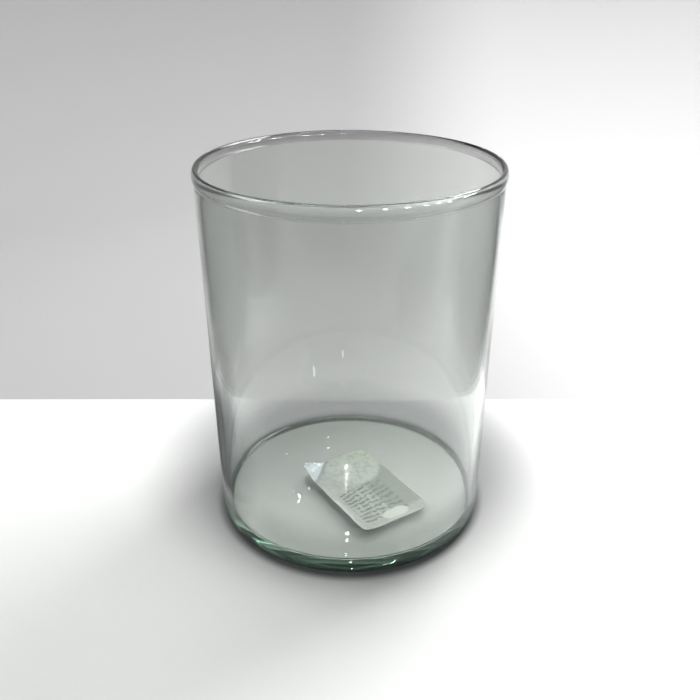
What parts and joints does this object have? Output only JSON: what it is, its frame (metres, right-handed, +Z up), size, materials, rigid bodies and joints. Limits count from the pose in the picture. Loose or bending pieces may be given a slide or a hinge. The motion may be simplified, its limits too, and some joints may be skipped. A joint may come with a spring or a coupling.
{
  "type": "cylinder vase",
  "caption": "Open-topped clear glass cylinder vase with a fire-polished rim, a thick rounded base and a paper label on the inner floor.",
  "frame": {"origin": "on the vessel's axis, in the plane of the foot ring that it stands on", "axes": "+Z up along the vessel's axis, out of the mouth; the label's free long edge faces -X and -Y"},
  "size_m": [0.12, 0.12, 0.153],
  "materials": {
    "glass": "clear, polished",
    "label_film": "satin printed film",
    "label_adhesive": "dull, tacky"
  },
  "bodies": {
    "root": {"glass_vessel": "glass", "label_film": "label_film", "label_adhesive": "label_adhesive"}
  },
  "joints": []
}
